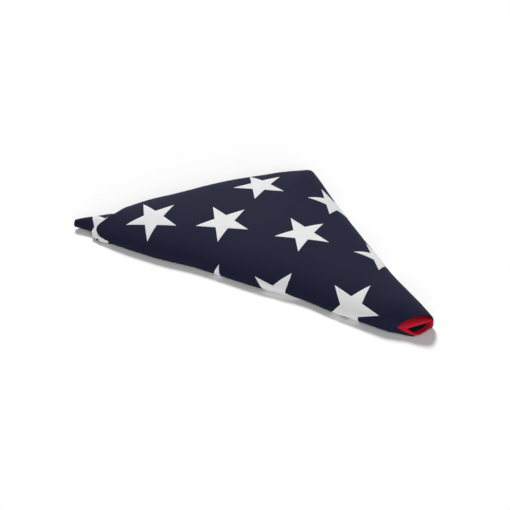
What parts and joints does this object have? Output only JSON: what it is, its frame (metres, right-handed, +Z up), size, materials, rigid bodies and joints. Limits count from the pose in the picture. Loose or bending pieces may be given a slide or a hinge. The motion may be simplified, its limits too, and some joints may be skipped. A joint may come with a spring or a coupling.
{
  "type": "folded flag",
  "caption": "Flag folded into a thick crowned triangle, navy canton with white sewn stars outside and red stripes showing in the open tip, lying flat.",
  "frame": {"origin": "centre of the pack's box, on the surface that it lies on", "axes": "+X along the long front fold towards the open tip, +Y towards the square corner, +Z up"},
  "size_m": [0.3798, 0.1955, 0.0291],
  "materials": {
    "navy_cloth": "woven matte",
    "star_embroidery": "satin thread",
    "red_cloth": "woven matte",
    "white_cloth": "woven matte",
    "heading_canvas": "heavy canvas",
    "grommet_brass": "polished"
  },
  "bodies": {
    "root": {"canton": "navy_cloth", "grommet_lower_eyelet": "grommet_brass", "grommet_lower_washer": "grommet_brass", "grommet_upper_eyelet": "grommet_brass", "grommet_upper_washer": "grommet_brass", "heading": "heading_canvas", "star_left_tip": "star_embroidery", "star_top_0_1": "star_embroidery", "star_top_0_3": "star_embroidery", "star_top_1_0": "star_embroidery", "star_top_1_2": "star_embroidery", "star_top_1_4": "star_embroidery", "star_top_2_1": "star_embroidery", "star_top_2_3": "star_embroidery", "star_top_3_0": "star_embroidery", "star_under_2_5": "star_embroidery", "star_under_3_2": "star_embroidery", "star_under_3_4": "star_embroidery", "star_under_4_1": "star_embroidery", "star_under_4_3": "star_embroidery", "star_under_5_4": "star_embroidery", "stripe_01_red": "red_cloth", "stripe_02_white": "white_cloth", "stripe_03_red": "red_cloth", "stripe_04_white": "white_cloth", "stripe_05_red": "red_cloth", "stripe_06_white": "white_cloth", "stripe_07_red": "red_cloth", "stripe_08_white": "white_cloth", "stripe_09_red": "red_cloth", "stripe_10_white": "white_cloth", "stripe_11_red": "red_cloth", "stripe_12_white": "white_cloth", "stripe_13_red": "red_cloth"}
  },
  "joints": []
}
